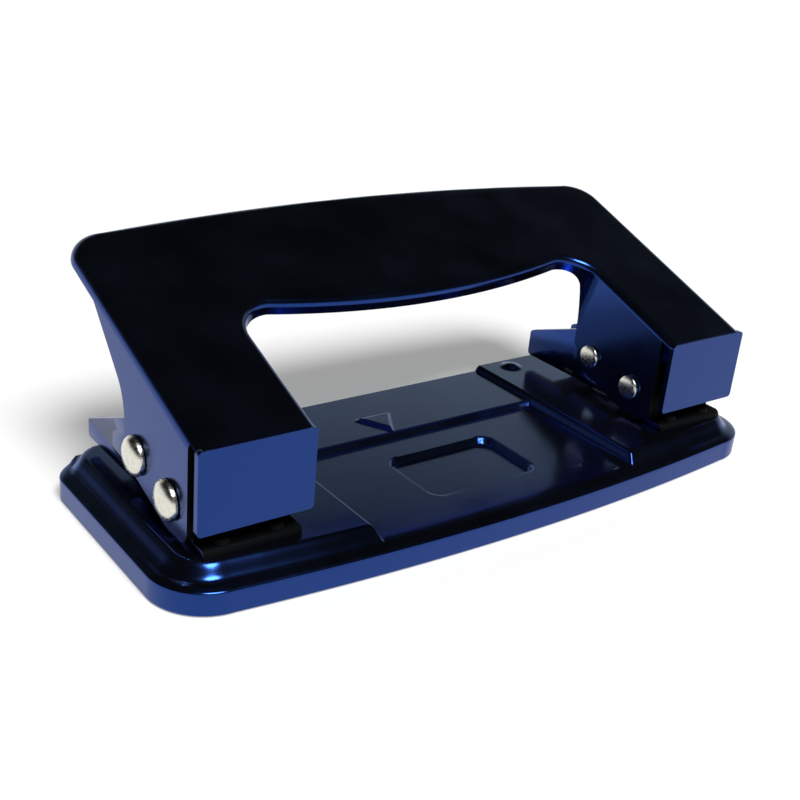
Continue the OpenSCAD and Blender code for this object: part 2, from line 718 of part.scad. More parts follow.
base_plate();
chip_tray();
handle();
bracket(LEFT);  // left_bracket
bracket(RIGHT);  // right_bracket
bracket_rivets(LEFT);  // left_bracket_rivets
bracket_rivets(RIGHT);  // right_bracket_rivets
stripper(LEFT);  // left_stripper
stripper(RIGHT);  // right_stripper
die(LEFT);  // left_die
die(RIGHT);  // right_die
punch(LEFT);  // left_punch
punch(RIGHT);  // right_punch
spring(LEFT);  // left_spring
spring(RIGHT);  // right_spring
spring_clip(LEFT);  // left_spring_clip
spring_clip(RIGHT);  // right_spring_clip
leg_pin(LEFT, pivot_y, pivot_z);  // left_pivot_pin
leg_pin(RIGHT, pivot_y, pivot_z);  // right_pivot_pin
leg_pin(LEFT, punch_y, drive_z);  // left_drive_pin
leg_pin(RIGHT, punch_y, drive_z);  // right_drive_pin
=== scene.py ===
# %% [markdown]
# # A two-hole desk punch in black gloss paint
# The real punch is two steel pressings, a low base and a wide handle, held together by four bright pins.
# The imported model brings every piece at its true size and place. This lesson gives them their looks: the two
# pressings are modelled again with the soft bends of real sheet metal, the small parts get rounded edges,
# and every surface gets a finish made from nodes.

# %% Load the frame
import math

import bpy
import numpy as np
from mathutils import Matrix, Vector


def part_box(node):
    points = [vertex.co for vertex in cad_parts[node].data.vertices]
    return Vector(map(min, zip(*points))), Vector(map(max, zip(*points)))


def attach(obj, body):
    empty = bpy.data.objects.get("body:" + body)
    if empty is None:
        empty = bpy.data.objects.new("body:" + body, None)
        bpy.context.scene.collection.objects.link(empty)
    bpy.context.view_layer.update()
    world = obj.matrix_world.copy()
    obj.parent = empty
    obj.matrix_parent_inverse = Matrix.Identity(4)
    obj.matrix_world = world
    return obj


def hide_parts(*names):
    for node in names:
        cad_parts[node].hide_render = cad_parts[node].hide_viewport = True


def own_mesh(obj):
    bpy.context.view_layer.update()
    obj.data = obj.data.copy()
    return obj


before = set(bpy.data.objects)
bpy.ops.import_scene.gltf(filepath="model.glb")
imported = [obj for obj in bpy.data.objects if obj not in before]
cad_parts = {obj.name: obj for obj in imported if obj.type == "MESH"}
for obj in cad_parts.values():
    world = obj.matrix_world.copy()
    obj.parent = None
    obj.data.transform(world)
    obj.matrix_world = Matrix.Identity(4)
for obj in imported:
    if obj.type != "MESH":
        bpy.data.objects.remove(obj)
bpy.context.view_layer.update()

MM = 0.001
scene = bpy.context.scene
scene.view_settings.view_transform = "Standard"

# %% [markdown]
# ## The camera
# The photograph looks down on the front left corner of the punch, a little tilted. The camera's place and its
# three turns were found by matching the corners of the base and the handle with their pixels. The lens is the
# focal length in pixels, written for a 36 mm wide sensor.

# %% Camera
FRAME_PIXELS = 800
FOCAL_PIXELS = 1185.394
SENSOR_MM = 36.0
CAMERA_PLACE = Vector((-104.492, -122.788, 82.827)) * MM
CAMERA_YAW = math.radians(38.144)
CAMERA_PITCH = math.radians(23.939)
CAMERA_ROLL = math.radians(5.311)


def add_camera():
    turn = (Matrix.Rotation(-CAMERA_YAW, 4, "Z") @ Matrix.Rotation(math.pi / 2 - CAMERA_PITCH, 4, "X")
            @ Matrix.Rotation(CAMERA_ROLL, 4, "Z"))
    bpy.ops.object.camera_add()
    camera = bpy.context.object
    camera.matrix_world = Matrix.Translation(CAMERA_PLACE) @ turn
    camera.data.sensor_width = SENSOR_MM
    camera.data.lens = FOCAL_PIXELS * SENSOR_MM / FRAME_PIXELS
    camera.data.clip_start = MM
    scene.camera = camera
    return camera


camera = add_camera()
print("lens", round(camera.data.lens, 2), "mm")

# %% [markdown]
# ## Tools for the bench
# A few habits repeat for every piece: open one object in edit mode, draw an outline, push it out into a bar,
# and apply a modifier. An outline starts as a filled circle with one vertex for each point of the outline,
# because a circle already has its rim in order, and its vertices are then moved into place.

# %% Helpers
ROUND_SIDES = 64


def pick(piece):
    bpy.ops.object.select_all(action="DESELECT")
    piece.select_set(True)
    bpy.context.view_layer.objects.active = piece


def open_mesh(piece):
    pick(piece)
    bpy.ops.object.mode_set(mode="EDIT")
    bpy.ops.mesh.select_all(action="SELECT")


def close_mesh():
    bpy.ops.object.mode_set(mode="OBJECT")
    return bpy.context.object


def fix_normals(piece):
    open_mesh(piece)
    bpy.ops.mesh.normals_make_consistent(inside=False)
    return close_mesh()


def apply_modifier(piece, kind, **settings):
    pick(piece)
    bpy.ops.object.modifier_add(type=kind)
    modifier = piece.modifiers[-1]
    for name, value in settings.items():
        setattr(modifier, name, value)
    bpy.ops.object.modifier_apply(modifier=modifier.name)
    return piece


def arc(centre, radius, start, end, steps=10):
    angles = np.radians(np.linspace(start, end, steps + 1))
    return [(centre[0] + radius * math.cos(a), centre[1] + radius * math.sin(a)) for a in angles]


def outline_face(name, points):
    """A filled circle with its rim moved onto an outline of points in millimetres."""
    bpy.ops.object.select_all(action="DESELECT")
    bpy.ops.mesh.primitive_circle_add(vertices=len(points), radius=MM, fill_type="NGON")
    piece = bpy.context.object
    piece.name = name
    piece.data.name = name
    piece.data.vertices.foreach_set("co", (np.array(points, float) * MM).ravel())
    piece.data.update()
    return piece


def push_out(piece, step):
    """Extrudes the whole outline by a step in millimetres, into a closed bar."""
    open_mesh(piece)
    bpy.ops.mesh.extrude_region_move(TRANSFORM_OT_translate={"value": Vector(step) * MM})
    close_mesh()
    return fix_normals(piece)


def side_bar(name, outline, x0, x1):
    """A bar along X with an end view of (y, z) points."""
    return push_out(outline_face(name, [(x0, y, z) for y, z in outline]), (x1 - x0, 0, 0))


def cut_away(piece, cutter):
    apply_modifier(piece, "BOOLEAN", operation="DIFFERENCE", object=cutter, solver="EXACT")
    bpy.data.objects.remove(cutter)


def weld_on(piece, addition):
    apply_modifier(piece, "BOOLEAN", operation="UNION", object=addition, solver="EXACT")
    bpy.data.objects.remove(addition)


def smooth(piece, angle):
    pick(piece)
    bpy.ops.object.shade_smooth_by_angle(angle=math.radians(angle))
    return piece


def add_post(x, y, z0, z1, radius):
    """An upright cylinder, in millimetres."""
    bpy.ops.object.select_all(action="DESELECT")
    bpy.ops.mesh.primitive_cylinder_add(vertices=ROUND_SIDES, radius=radius * MM, depth=(z1 - z0) * MM,
                                        location=Vector((x, y, (z0 + z1) / 2)) * MM)
    bpy.ops.object.transform_apply(location=True, rotation=True, scale=True)
    return bpy.context.object


def add_rod(x0, x1, y, z, radius, vertices=ROUND_SIDES):
    """A cylinder along X, in millimetres."""
    bpy.ops.object.select_all(action="DESELECT")
    bpy.ops.mesh.primitive_cylinder_add(vertices=vertices, radius=radius * MM, depth=(x1 - x0) * MM,
                                        location=Vector(((x0 + x1) / 2, y, z)) * MM,
                                        rotation=(0, math.pi / 2, 0))
    bpy.ops.object.transform_apply(location=True, rotation=True, scale=True)
    return bpy.context.object


def box_mm(node):
    low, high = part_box(node)
    return Vector(low) / MM, Vector(high) / MM


# %% [markdown]
# ## Finishes
# Most of the punch is stove enamel: nearly black, glossy, with the faint ripple that sprayed paint keeps.
# Its reflections are bluish when they are seen face on and whiter at a glance, which the shader's specular
# tint gives. Faces that lie in shade get a dull coat of it that reflects almost nothing, as painted shade.
# The tray is moulded plastic, the punches are ground steel, the strippers are blackened, and the pins are
# nickel plate.
# Noise on object coordinates keeps each pattern at its real size, whatever the piece.

# %% Materials
NOISE_MIDDLE = (0.3, 0.7)
PAINT_BLACKS = ((0.0016, 0.0019, 0.0024), (0.003, 0.0034, 0.0042))


def start_material(name):
    material = bpy.data.materials.new(name)
    material.use_nodes = True
    nodes = material.node_tree.nodes
    shader = nodes["Principled BSDF"]
    place = nodes.new("ShaderNodeTexCoord")
    return material, nodes, material.node_tree.links, shader, place.outputs["Object"]


def add_noise(nodes, links, vector, size_mm, detail=2.0, stretch=(1, 1, 1)):
    """Noise whose patches are about size_mm across; stretch thins it along an axis."""
    mapping = nodes.new("ShaderNodeMapping")
    mapping.inputs["Scale"].default_value = [s / (size_mm * MM) for s in stretch]
    noise = nodes.new("ShaderNodeTexNoise")
    noise.inputs["Scale"].default_value = 1.0
    noise.inputs["Detail"].default_value = detail
    links.new(vector, mapping.inputs["Vector"])
    links.new(mapping.outputs["Vector"], noise.inputs["Vector"])
    return noise.outputs["Fac"]


def add_range(nodes, links, value, low, high):
    """Maps noise around its middle to a range of values."""
    ramp = nodes.new("ShaderNodeMapRange")
    ramp.inputs["From Min"].default_value = NOISE_MIDDLE[0]
    ramp.inputs["From Max"].default_value = NOISE_MIDDLE[1]
    ramp.inputs["To Min"].default_value = low
    ramp.inputs["To Max"].default_value = high
    links.new(value, ramp.inputs["Value"])
    return ramp.outputs["Result"]


def add_tint(nodes, links, value, dark, light):
    mix = nodes.new("ShaderNodeMix")
    mix.data_type = "RGBA"
    mix.inputs["A"].default_value = (*dark, 1)
    mix.inputs["B"].default_value = (*light, 1)
    links.new(value, mix.inputs["Factor"])
    return mix.outputs["Result"]


def add_bump(nodes, links, height, depth_mm, strength=1.0):
    bump = nodes.new("ShaderNodeBump")
    bump.inputs["Distance"].default_value = depth_mm * MM
    bump.inputs["Strength"].default_value = strength
    links.new(height, bump.inputs["Height"])
    return bump.outputs["Normal"]


def black_enamel():
    material, nodes, links, shader, place = start_material("black_enamel")
    ripple = add_noise(nodes, links, place, 1.3, detail=1.0)
    patches = add_noise(nodes, links, place, 9.0, detail=3.0)
    shade = add_range(nodes, links, patches, 0, 1)
    tint = add_tint(nodes, links, shade, *PAINT_BLACKS)
    links.new(tint, shader.inputs["Base Color"])
    links.new(add_range(nodes, links, patches, 0.13, 0.2), shader.inputs["Roughness"])
    links.new(add_bump(nodes, links, ripple, 0.012, 0.5), shader.inputs["Normal"])
    shader.inputs["IOR"].default_value = 2.0
    shader.inputs["Specular IOR Level"].default_value = 0.9
    shader.inputs["Specular Tint"].default_value = (0.07, 0.22, 1.0, 1)
    return material


def shade_dulled_enamel():
    """The same paint, rough and with almost no reflection, used as painted shade on faces that lie in shade.
    """
    material, nodes, links, shader, place = start_material("shade_dulled_enamel")
    grain = add_noise(nodes, links, place, 0.3, detail=3.0)
    shade = add_range(nodes, links, grain, 0, 1)
    tint = add_tint(nodes, links, shade, *PAINT_BLACKS)
    links.new(tint, shader.inputs["Base Color"])
    links.new(add_range(nodes, links, grain, 0.55, 0.75), shader.inputs["Roughness"])
    links.new(add_bump(nodes, links, grain, 0.02, 0.4), shader.inputs["Normal"])
    # Painted shade: the low specular level keeps these faces dark whatever lights them.
    shader.inputs["Specular IOR Level"].default_value = 0.05
    return material


def nickel_plate():
    material, nodes, links, shader, place = start_material("nickel_plate")
    grain = add_noise(nodes, links, place, 0.5, detail=4.0)
    shade = add_range(nodes, links, grain, 0, 1)
    tint = add_tint(nodes, links, shade, (0.66, 0.64, 0.56), (0.82, 0.81, 0.74))
    links.new(tint, shader.inputs["Base Color"])
    links.new(add_range(nodes, links, grain, 0.18, 0.32), shader.inputs["Roughness"])
    links.new(add_bump(nodes, links, grain, 0.02, 0.35), shader.inputs["Normal"])
    shader.inputs["Metallic"].default_value = 1.0
    return material


def ground_steel(name, colour, stretch):
    material, nodes, links, shader, place = start_material(name)
    scratches = add_noise(nodes, links, place, 0.9, detail=5.0, stretch=stretch)
    darker = [0.8 * c for c in colour]
    tint = add_tint(nodes, links, add_range(nodes, links, scratches, 0, 1), darker, colour)
    links.new(tint, shader.inputs["Base Color"])
    links.new(add_range(nodes, links, scratches, 0.22, 0.4), shader.inputs["Roughness"])
    links.new(add_bump(nodes, links, scratches, 0.01, 0.4), shader.inputs["Normal"])
    shader.inputs["Metallic"].default_value = 1.0
    return material


def moulded_plastic():
    material, nodes, links, shader, place = start_material("moulded_plastic")
    grain = add_noise(nodes, links, place, 0.35, detail=3.0)
    shade = add_range(nodes, links, grain, 0, 1)
    tint = add_tint(nodes, links, shade, (0.016, 0.016, 0.018), (0.028, 0.028, 0.03))
    links.new(tint, shader.inputs["Base Color"])
    links.new(add_range(nodes, links, grain, 0.42, 0.6), shader.inputs["Roughness"])
    links.new(add_bump(nodes, links, grain, 0.03, 0.5), shader.inputs["Normal"])
    return material


ENAMEL = black_enamel()
SHADE_DULLED_ENAMEL = shade_dulled_enamel()
NICKEL = nickel_plate()
PUNCH_STEEL = ground_steel("ground_punch_steel", (0.56, 0.56, 0.55), (1, 1, 14))
PLATE_STEEL = ground_steel("ground_plate_steel", (0.4, 0.4, 0.4), (12, 1, 1))
BLACKENED_STEEL = ground_steel("blackened_plate_steel", (0.035, 0.036, 0.04), (12, 1, 1))
SPRING_STEEL = ground_steel("drawn_spring_wire", (0.62, 0.62, 0.6), (4, 4, 4))
PLASTIC = moulded_plastic()


def finish_piece(piece, material, body, slot, *nodes):
    """Gives a new piece its finish, the body it rides on and the nodes it stands for."""
    piece.data.materials.clear()
    piece.data.materials.append(material)
    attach(piece, body)
    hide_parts(*nodes)
    print(piece.name, len(piece.data.polygons), "faces")
    return piece


def shade_dull_faces(piece, chosen):
    """Gives the chosen faces, which lie in shade, the dull paint that darkens them as painted shade."""
    piece.data.materials.append(SHADE_DULLED_ENAMEL)
    for face in piece.data.polygons:
        face.material_index = int(chosen(face))


# %% [markdown]
# ## The base
# The base is one sheet, pressed in a single stroke: an upright skirt, a low rounded shoulder on three sides,
# a front deck with a bare recess, a step up to the rear deck, and two pads that carry the punch heads.
# A press forms a flat blank, and so does this cell. It adds a grid, moves its columns and rows onto the
# outline of the base, and lifts each vertex to the height of the die under it. The skirt is then extruded
# from the rim and the sheet gets its thickness.

# %% Base outline and heights
base_low, base_high = box_mm("base_plate")
BASE_HALF = base_high.x
BASE_REAR = base_high.y
FRONT_BOW = 3.4
BASE_FRONT = base_low.y + FRONT_BOW
FRONT_CORNER = 8.0
REAR_CORNER = 4.5
SHEET = 0.9
SKIRT_FOOT = base_low.z
SKIRT_TOP = 3.2
SHOULDER = 3.6
REAR_ROLL = 0.5
FRONT_DECK = 4.0
REAR_DECK = 4.9
PAD_TOP = box_mm("right_bracket")[0].z
PAD_INNER = 24.0
STEP_Y = 6.0
STEP_RUN = 1.1
PAD_RUN = 2.1
PAD_CORNER = 4.0
REAR_LEDGE = 0.6
DOME_AT = (29.0, BASE_REAR - 3.6)
DOME_RADIUS = 2.2
DOME_HEIGHT = 0.6
DOME_FULLNESS = 1.15
RECESS_HALF = (9.5, 6.0)
RECESS_Y = -6.0
RECESS_CORNER = 2.2
RECESS_DROP = 1.0
RECESS_WALL = 0.6
MARK_X = -4.0
MARK_TIP_Y = STEP_Y + 0.3
MARK_LENGTH = 5.4
MARK_HALF = 3.1
MARK_HEIGHT = 0.5
MARK_WALL = 0.5
MARK_SPREAD = 0.2
FRONT_CENTRE = BASE_HALF - FRONT_CORNER


def front_edge(x):
    return BASE_FRONT - FRONT_BOW * (1 - (x / BASE_HALF) ** 2)


FRONT_CENTRE_Y = front_edge(FRONT_CENTRE) + FRONT_CORNER
REAR_CENTRE = BASE_HALF - REAR_CORNER
REAR_CENTRE_Y = BASE_REAR - REAR_CORNER


def front_line(x):
    """Y of the outline's front, with its round corners."""
    across = np.clip(np.abs(x) - FRONT_CENTRE, 0, FRONT_CORNER)
    corner = FRONT_CENTRE_Y - np.sqrt(FRONT_CORNER ** 2 - across ** 2)
    return np.where(np.abs(x) > FRONT_CENTRE, corner, front_edge(x))


def rear_line(x):
    across = np.clip(np.abs(x) - REAR_CENTRE, 0, REAR_CORNER)
    return REAR_CENTRE_Y + np.sqrt(REAR_CORNER ** 2 - across ** 2)


def ease(t):
    """A soft step from 0 to 1."""
    t = np.clip(t, 0, 1)
    return t * t * (3 - 2 * t)


def edge_distance(x, y):
    """Distance from the front and the two ends of the outline."""
    ax = np.abs(x)
    plain = np.minimum(BASE_HALF - ax, y - front_edge(x))
    corner = FRONT_CORNER - np.hypot(ax - FRONT_CENTRE, y - FRONT_CENTRE_Y)
    return np.where((ax > FRONT_CENTRE) & (y < FRONT_CENTRE_Y), corner, plain)


def shoulder_share(x, y):
    """How far up the shoulder a point lies, from 0 at the rim to 1 on the deck."""
    ax = np.abs(x)
    share = np.minimum(edge_distance(x, y) / SHOULDER, (BASE_REAR - y) / REAR_ROLL)
    across, along = ax - REAR_CENTRE, y - REAR_CENTRE_Y
    turn = np.arctan2(np.maximum(along, 0), np.maximum(across, 1e-9))
    width = SHOULDER * np.cos(turn) ** 2 + REAR_ROLL * np.sin(turn) ** 2
    corner = (REAR_CORNER - np.hypot(across, along)) / width
    return np.clip(np.where((across > 0) & (along > 0), corner, share), 0, 1)


def recess_inside(x, y):
    """Distance inside the recess's rounded outline, below zero outside it."""
    px = np.abs(x) - RECESS_HALF[0] + RECESS_CORNER
    py = np.abs(y - RECESS_Y) - RECESS_HALF[1] + RECESS_CORNER
    outer = np.hypot(np.maximum(px, 0), np.maximum(py, 0))
    return RECESS_CORNER - outer - np.minimum(np.maximum(px, py), 0)


def mark_inside(x, y):
    """Distance inside the triangle of the middle mark."""
    slant = math.atan2(MARK_LENGTH, MARK_HALF)
    sides = (y - MARK_TIP_Y) * math.cos(slant) - np.abs(x - MARK_X) * math.sin(slant)
    return np.minimum(sides, MARK_TIP_Y + MARK_LENGTH - y)


def base_height(x, y):
    ax = np.abs(x)
    share = shoulder_share(x, y)
    height = SKIRT_TOP + (FRONT_DECK - SKIRT_TOP) * np.sqrt(1 - (1 - share) ** 2)
    rear = (BASE_REAR - REAR_LEDGE / 2 - y) / REAR_LEDGE
    behind = np.clip(y - BASE_REAR + REAR_LEDGE + PAD_CORNER, 0, PAD_CORNER)
    corner = PAD_CORNER - np.sqrt(PAD_CORNER ** 2 - behind ** 2)
    pad = (edge_distance(x, y) - corner - SHOULDER + PAD_RUN) / PAD_RUN
    pad = np.minimum(pad, (ax - PAD_INNER + STEP_RUN) / STEP_RUN)
    deck = (y - STEP_Y + STEP_RUN) / STEP_RUN
    deck = np.minimum(deck, (edge_distance(x, y) - SHOULDER + STEP_RUN) / STEP_RUN)
    lift = np.maximum((PAD_TOP - FRONT_DECK) * ease(np.minimum(pad, rear)),
                      (REAR_DECK - FRONT_DECK) * ease(np.minimum(deck, rear)))
    from_dome = np.hypot(ax - DOME_AT[0], y - DOME_AT[1])
    dome = DOME_HEIGHT * ease(DOME_FULLNESS * (1 - from_dome / DOME_RADIUS))
    recess = RECESS_DROP * ease((recess_inside(x, y) + RECESS_WALL / 2) / RECESS_WALL)
    mark = MARK_HEIGHT * ease((mark_inside(x, y) + MARK_SPREAD) / MARK_WALL)
    return height + lift + dome - recess + mark


# %% Press the base
COLUMN_SPANS = ((0, 13.5, 54), (13.5, 22.6, 18), (22.6, 24.4, 9), (24.4, 26.6, 4), (26.6, 31.4, 16),
                (31.4, FRONT_CENTRE, 22))
CORNER_COLUMNS = 27
FRONT_ROWS = np.array([0, 0.05, 0.16, 0.36, 0.65, 1.0, 1.4, 1.8, 2.2, 2.5, 2.8, 3.1, 3.4, 3.7, 4.1])
REAR_ROWS = np.array([0.9, 0.75, 0.6, 0.45, 0.3, 0.18, 0.08, 0.03, 0])
ROW_STEP = 0.3
SKIRT_DROPS = (0.35, 1.1, 1.5)
RIM_SLACK = 0.01


def base_columns():
    """X of the grid's columns: close together at the mark, the recess, the pads' edges and the corners."""
    parts = [np.linspace(start, end, steps + 1)[:-1] for start, end, steps in COLUMN_SPANS]
    ends = FRONT_CENTRE + FRONT_CORNER * np.sin(np.radians(np.linspace(0, 90, CORNER_COLUMNS)))
    half = np.concatenate(parts + [ends])
    return np.concatenate([-half[:0:-1], half])


def base_rows():
    """Places of the grid's rows, as shares of the way from the front edge to the rear edge."""
    depth = BASE_REAR - BASE_FRONT + FRONT_BOW
    middle = np.arange(FRONT_ROWS[-1], depth - REAR_ROWS[0], ROW_STEP)
    return np.concatenate([FRONT_ROWS, middle[1:], depth - REAR_ROWS]) / depth


def press_base():
    columns, rows = base_columns(), base_rows()
    bpy.ops.object.select_all(action="DESELECT")
    bpy.ops.mesh.primitive_grid_add(x_subdivisions=len(columns) - 1, y_subdivisions=len(rows) - 1, size=2)
    base = bpy.context.object
    base.name = "pressed_base"
    flat = np.zeros(3 * len(base.data.vertices))
    base.data.vertices.foreach_get("co", flat)
    u, v = flat.reshape(-1, 3)[:, 0], flat.reshape(-1, 3)[:, 1]
    x = columns[np.rint((u + 1) / 2 * (len(columns) - 1)).astype(int)]
    share = rows[np.rint((v + 1) / 2 * (len(rows) - 1)).astype(int)]
    y = front_line(x) + share * (rear_line(x) - front_line(x))
    placed = np.stack([x, y, base_height(x, y)], axis=1) * MM
    base.data.vertices.foreach_set("co", placed.ravel())
    base.data.update()
    open_mesh(base)
    bpy.ops.mesh.select_mode(type="EDGE")
    bpy.ops.mesh.select_all(action="DESELECT")
    bpy.ops.mesh.select_non_manifold()
    for drop in SKIRT_DROPS:
        bpy.ops.mesh.extrude_region_move(TRANSFORM_OT_translate={"value": (0, 0, -drop * MM)})
    close_mesh()
    rim = min(v.co.z for v in base.data.vertices)
    for vertex in base.data.vertices:
        if abs(vertex.co.z - rim) < RIM_SLACK * MM:
            vertex.co.z = SKIRT_FOOT * MM
    fix_normals(base)
    apply_modifier(base, "SOLIDIFY", thickness=SHEET * MM, offset=-1, use_even_offset=True)
    return base


base = press_base()
die_low, die_high = box_mm("right_die")
HOLE_X = (die_low.x + die_high.x) / 2
HOLE_Y = (die_low.y + die_high.y) / 2
DIE_RADIUS = 4.6
DIE_FIT = 0.02
DIE_HOLE_Z = (2, 9)
for side in (-1, 1):
    cut_away(base, add_post(side * HOLE_X, HOLE_Y, *DIE_HOLE_Z, DIE_RADIUS + DIE_FIT))
smooth(base, 50)
finish_piece(base, ENAMEL, "frame", "black_paint", "base_plate")

# %% [markdown]
# ## The handle
# The handle is a second pressing: a sloping plate whose edges all turn down. The turned edge is a shallow rim
# round the bar, a lip over the opening, and deep flanges beside the two legs, with a flap closing each leg's
# front. It is drawn flat first, as one face with the opening notched out, and extruded down. A bevel of all
# the plate's edges at once makes the bends, as the press does, and side views cut the walls to their edges.

# %% Handle outline
SLOPE = math.radians(20)
handle_low, handle_high = box_mm("handle")
HANDLE_HALF = handle_high.x
LEG_HALF = HANDLE_HALF - HOLE_X
OPENING_HALF = HOLE_X - LEG_HALF
FLAP_Y = handle_low.y
FLAP_TOP = 20.8
FLAP_LOW = 9.5
FLAP_CORNER = 0.6
PLATE_LENGTH = 45.3
PLATE_BOW = 2.4
PLATE_CORNER = 5.5
BEND = 1.8
LIP_BEND = 1.1
LIP_AT_LEG = 23.2
LIP_DIP = 2.8
LIP_DEPTH = 2.2
OPENING_CORNER = 5.5
RIM_DEPTH = 2.0
FRONT_RUN = -6.0
WALL_DEPTH = 26.0
FLANGE_Y = -12.4
FLANGE_CORNER = 2.2
FLANGE_REAR = 5.6
ARM_Y = 5.2
ARM_Z = 16.4
ARM_SWEEP = 8.0
ARM_ANGLE = 47
PIVOT = (-7.7, 11.2)
DRIVE = (1.5, 13.0)
PIVOT_LOBE = 4.4
DRIVE_LOBE = 3.2
LIP_HALF = OPENING_HALF - OPENING_CORNER
BEND_SEGMENTS = 8
CUT_ALONG = (-20, 70)
CUT_FRONT = -60
CUT_FLOOR = -20


def plate_point(along, off):
    """(y, z) of a point at a distance along the plate's slope and off its face."""
    return (FLAP_Y + along * math.cos(SLOPE) - off * math.sin(SLOPE),
            FLAP_TOP + along * math.sin(SLOPE) + off * math.cos(SLOPE))


def handle_plan():
    """The plate's outline before its edges are bent, as (x, distance along the slope)."""
    centre = HANDLE_HALF - PLATE_CORNER
    shoulder = PLATE_LENGTH - PLATE_BOW
    top = [(x, shoulder + PLATE_BOW * (1 - (x / centre) ** 2)) for x in np.linspace(centre, -centre, 33)]
    across = np.linspace(-LIP_HALF, LIP_HALF, 33)
    lip = [(x, LIP_AT_LEG - LIP_DIP * (1 - (x / LIP_HALF) ** 2)) for x in across]
    return ([(HANDLE_HALF, FRONT_RUN)] + arc((centre, shoulder - PLATE_CORNER), PLATE_CORNER, 0, 90, 16)
            + top[1:-1] + arc((-centre, shoulder - PLATE_CORNER), PLATE_CORNER, 90, 180, 16)
            + [(-HANDLE_HALF, FRONT_RUN), (-OPENING_HALF, FRONT_RUN)]
            + arc((-LIP_HALF, LIP_AT_LEG - OPENING_CORNER), OPENING_CORNER, 180, 90, 14) + lip[1:-1]
            + arc((LIP_HALF, LIP_AT_LEG - OPENING_CORNER), OPENING_CORNER, 90, 0, 14)
            + [(OPENING_HALF, FRONT_RUN)])


def bend_sheet():
    """The plate with all its edges turned down, cut off inside the sheet of the flaps."""
    sheet = outline_face("pressed_handle", [(x, v, 0) for x, v in handle_plan()])
    open_mesh(sheet)
    bpy.ops.mesh.extrude_region_move(TRANSFORM_OT_translate={"value": (0, 0, -WALL_DEPTH * MM)})
    bpy.ops.mesh.delete(type="ONLY_FACE")
    bpy.ops.mesh.select_all(action="DESELECT")
    close_mesh()
    bend_edges(sheet, False, BEND)
    bend_edges(sheet, True, LIP_BEND)
    slope = Matrix.Translation(Vector((0, FLAP_Y, FLAP_TOP)) * MM) @ Matrix.Rotation(SLOPE, 4, "X")
    sheet.data.transform(slope)
    open_mesh(sheet)
    bpy.ops.mesh.bisect(plane_co=(0, (FLAP_Y + SHEET / 3) * MM, 0), plane_no=(0, -1, 0), clear_outer=True)
    close_mesh()
    fix_normals(sheet)
    return apply_modifier(sheet, "SOLIDIFY", thickness=SHEET * MM, offset=-1, use_even_offset=True)


def bend_edges(sheet, at_opening, radius):
    """Rounds the plate over into its walls, round the opening or round all the rest."""
    reach = Vector((OPENING_HALF + 0.01, LIP_AT_LEG + 0.01)) * MM
    for edge in sheet.data.edges:
        ends = [sheet.data.vertices[i].co for i in edge.vertices]
        at_front = all(abs(c.y - FRONT_RUN * MM) < 1e-6 for c in ends)
        inside = all(abs(c.x) < reach.x and c.y < reach.y for c in ends)
        on_plate = all(abs(c.z) < 1e-6 for c in ends)
        edge.select = on_plate and not at_front and inside == at_opening
    open_edges(sheet)
    bpy.ops.mesh.bevel(offset=radius * MM, offset_type="OFFSET", segments=BEND_SEGMENTS, profile=0.5,
                       affect="EDGES")
    bpy.ops.mesh.select_all(action="DESELECT")
    close_mesh()


def open_edges(piece):
    """Opens a piece in edge mode and keeps the edges that were picked in code."""
    pick(piece)
    bpy.context.tool_settings.mesh_select_mode = (False, True, False)
    bpy.ops.object.mode_set(mode="EDIT")


def flange_edge(rear):
    """Front and lower edge of a flange, up to the foot of its rear edge."""
    low = PIVOT[1] - PIVOT_LOBE
    reach = (DRIVE[0] - PIVOT[0], DRIVE[1] - PIVOT[1])
    narrowing = math.acos((PIVOT_LOBE - DRIVE_LOBE) / math.hypot(*reach))
    tangent = math.degrees(math.atan2(reach[1], reach[0]) - narrowing)
    front_top = plate_point(0, -SHEET)[1] + (FLANGE_Y - plate_point(0, -SHEET)[0]) * math.tan(SLOPE)
    corner = (FLANGE_Y + FLANGE_CORNER, low + FLANGE_CORNER)
    return ([(FLANGE_Y, front_top)] + arc(corner, FLANGE_CORNER, 180, 270)
            + arc(PIVOT, PIVOT_LOBE, -90, tangent, 6) + arc(DRIVE, DRIVE_LOBE, tangent, 0)
            + [(rear, DRIVE[1] + rear - DRIVE[0] - DRIVE_LOBE)])


def waste(edge, first_depth=SHEET):
    """Closes a cut edge below the handle, so that what lies under it is cut away."""
    start, end = CUT_ALONG
    return ([plate_point(start, -first_depth)] + edge
            + [plate_point(end, -RIM_DEPTH), (end, CUT_FLOOR), (CUT_FRONT, CUT_FLOOR)])


def outer_edge():
    sweep = arc((ARM_Y + ARM_SWEEP, ARM_Z), ARM_SWEEP, 180, 90 + ARM_ANGLE, 16)
    rim_y, rim_z = plate_point(0, -RIM_DEPTH)
    lean, flat = math.tan(math.radians(ARM_ANGLE)), math.tan(SLOPE)
    end_y, end_z = sweep[-1]
    y = (rim_z - flat * rim_y - end_z + lean * end_y) / (lean - flat)
    return flange_edge(ARM_Y) + sweep + [(y, end_z + lean * (y - end_y))]


def inner_edge():
    radius = (plate_point(LIP_AT_LEG, -LIP_DEPTH)[0] - FLANGE_REAR) / (1 - math.sin(SLOPE))
    fillet = arc(plate_point(LIP_AT_LEG, -LIP_DEPTH - radius), radius, 180, 90 + math.degrees(SLOPE), 16)
    return flange_edge(FLANGE_REAR) + fillet + lip_end()


def lip_end():
    """Where the lip's depth gives way to the rim's, hidden under the bar."""
    middle = (LIP_AT_LEG + PLATE_LENGTH) / 2
    return [plate_point(middle, -LIP_DEPTH), plate_point(middle, -RIM_DEPTH)]


